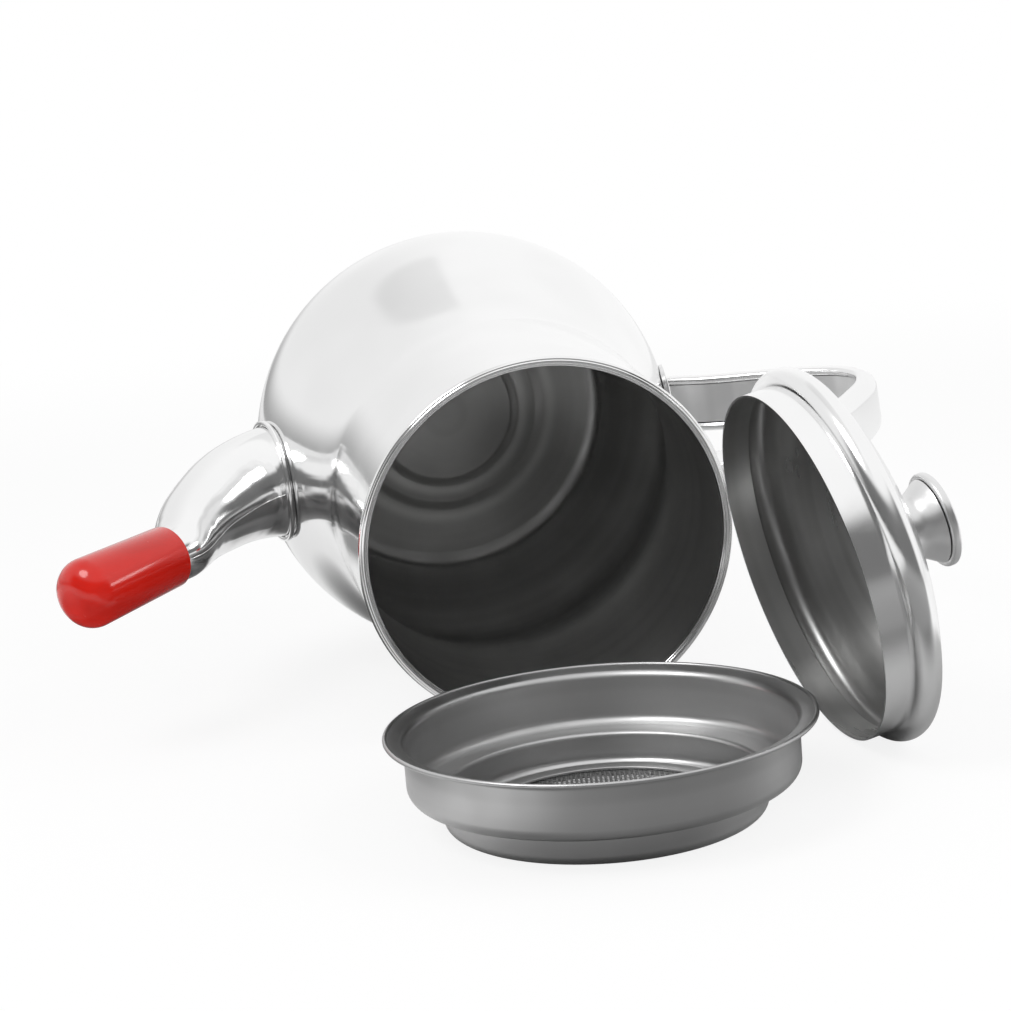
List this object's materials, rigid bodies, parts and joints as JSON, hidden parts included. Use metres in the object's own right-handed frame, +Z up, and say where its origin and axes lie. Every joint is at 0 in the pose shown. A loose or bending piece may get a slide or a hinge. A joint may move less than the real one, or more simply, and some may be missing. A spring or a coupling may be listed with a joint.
{
  "type": "bacon grease container",
  "caption": "Stainless pot on its side with a gooseneck spout, red push-on spout cap and ear handle, beside its taken-out strainer and a knobbed lid that leans on the rim.",
  "frame": {"origin": "middle of the bottom of the whole set, on the surface it lies on", "axes": "+Z up, -Y toward the viewer and nearly along the mouth of the laid pot, +X to the right toward the lid"},
  "size_m": [0.2524, 0.3048, 0.1377],
  "materials": {
    "polished_steel": "polished stainless steel",
    "satin_steel": "satin stainless steel",
    "mesh_steel": "fine steel mesh",
    "red_cap": "glossy red vinyl"
  },
  "bodies": {
    "pot": {"pot_body": "polished_steel", "pot_base": "satin_steel", "spout_left_half": "polished_steel", "spout_right_half": "polished_steel", "spout_collar": "polished_steel", "handle_outer": "polished_steel", "handle_inner": "satin_steel", "handle_upper_pad": "satin_steel", "handle_lower_pad": "satin_steel"},
    "cap": {"spout_cap": "red_cap"},
    "strainer": {"strainer_pan": "satin_steel", "strainer_mesh": "mesh_steel", "mesh_ring": "satin_steel"},
    "lid": {"lid_shell": "polished_steel", "knob_neck": "polished_steel", "knob_disc": "polished_steel", "knob_screw": "satin_steel", "knob_washer": "satin_steel"}
  },
  "joints": [
    {"name": "cap_pull", "type": "slide", "parent": "pot", "child": "cap", "axis": [-0.616, -0.779, -0.117], "range_m": [0, 0.05]},
    {"name": "strainer_lift", "type": "slide", "parent": "pot", "child": "strainer", "axis": [0, 0, 1], "range_m": [0, 0.08]},
    {"name": "lid_lift", "type": "slide", "parent": "pot", "child": "lid", "axis": [0.9512, 0.2266, 0.2096], "range_m": [0, 0.06]}
  ]
}
